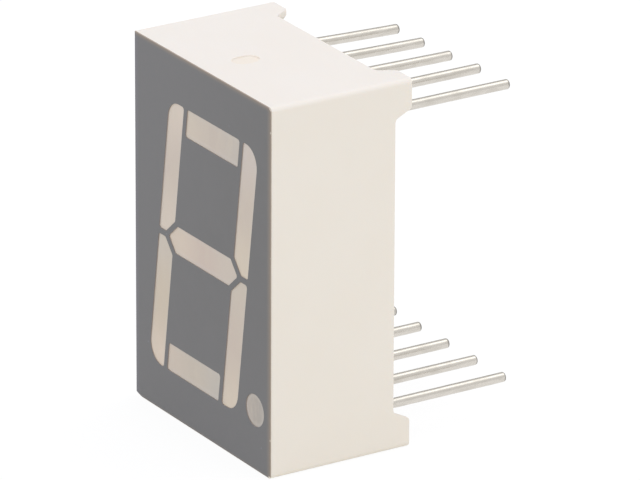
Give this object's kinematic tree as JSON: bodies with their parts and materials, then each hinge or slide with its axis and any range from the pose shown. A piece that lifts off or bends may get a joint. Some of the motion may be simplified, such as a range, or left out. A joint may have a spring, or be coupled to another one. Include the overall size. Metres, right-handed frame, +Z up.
{
  "type": "seven segment display",
  "caption": "Single digit LED display for through-hole mounting, with slanted light bars, a decimal point, a white moulded case with standoff feet, and wire pins in two rows.",
  "frame": {"origin": "under the middle of the whole part, pins included, on the surface that the lower edge stands on", "axes": "+X to the right as the digit is read, +Y from the face towards the pins, +Z up the digit"},
  "size_m": [0.0126, 0.0142, 0.019],
  "materials": {
    "housing_plastic": "warm white moulded plastic, satin",
    "face_ink": "mid grey printed ink, matt",
    "light_resin": "milky diffused casting resin, satin",
    "board_laminate": "glass fibre laminate, satin",
    "track_metal": "gold plated copper",
    "chip_crystal": "dark red crystal, polished",
    "wire_metal": "bright gold wire",
    "solder": "bright tin solder",
    "potting_resin": "milky casting resin with a liquid's gloss",
    "pin_metal": "solder dipped wire, soft metal shine"
  },
  "bodies": {
    "root": {"housing": "housing_plastic", "face_print": "face_ink", "segment_a": "light_resin", "segment_b": "light_resin", "segment_c": "light_resin", "segment_d": "light_resin", "segment_e": "light_resin", "segment_f": "light_resin", "segment_g": "light_resin", "decimal_point": "light_resin", "circuit_board": "board_laminate", "signal_tracks": "track_metal", "common_track": "track_metal", "led_chip_a": "chip_crystal", "led_chip_b": "chip_crystal", "led_chip_c": "chip_crystal", "led_chip_d": "chip_crystal", "led_chip_e": "chip_crystal", "led_chip_f": "chip_crystal", "led_chip_g": "chip_crystal", "led_chip_point": "chip_crystal", "bond_wire_a": "wire_metal", "bond_wire_b": "wire_metal", "bond_wire_c": "wire_metal", "bond_wire_d": "wire_metal", "bond_wire_e": "wire_metal", "bond_wire_f": "wire_metal", "bond_wire_g": "wire_metal", "bond_wire_point": "wire_metal", "solder_joints": "solder", "potting": "potting_resin", "pin_1": "pin_metal", "pin_2": "pin_metal", "pin_3": "pin_metal", "pin_4": "pin_metal", "pin_5": "pin_metal", "pin_6": "pin_metal", "pin_7": "pin_metal", "pin_8": "pin_metal", "pin_9": "pin_metal", "pin_10": "pin_metal"}
  },
  "joints": []
}
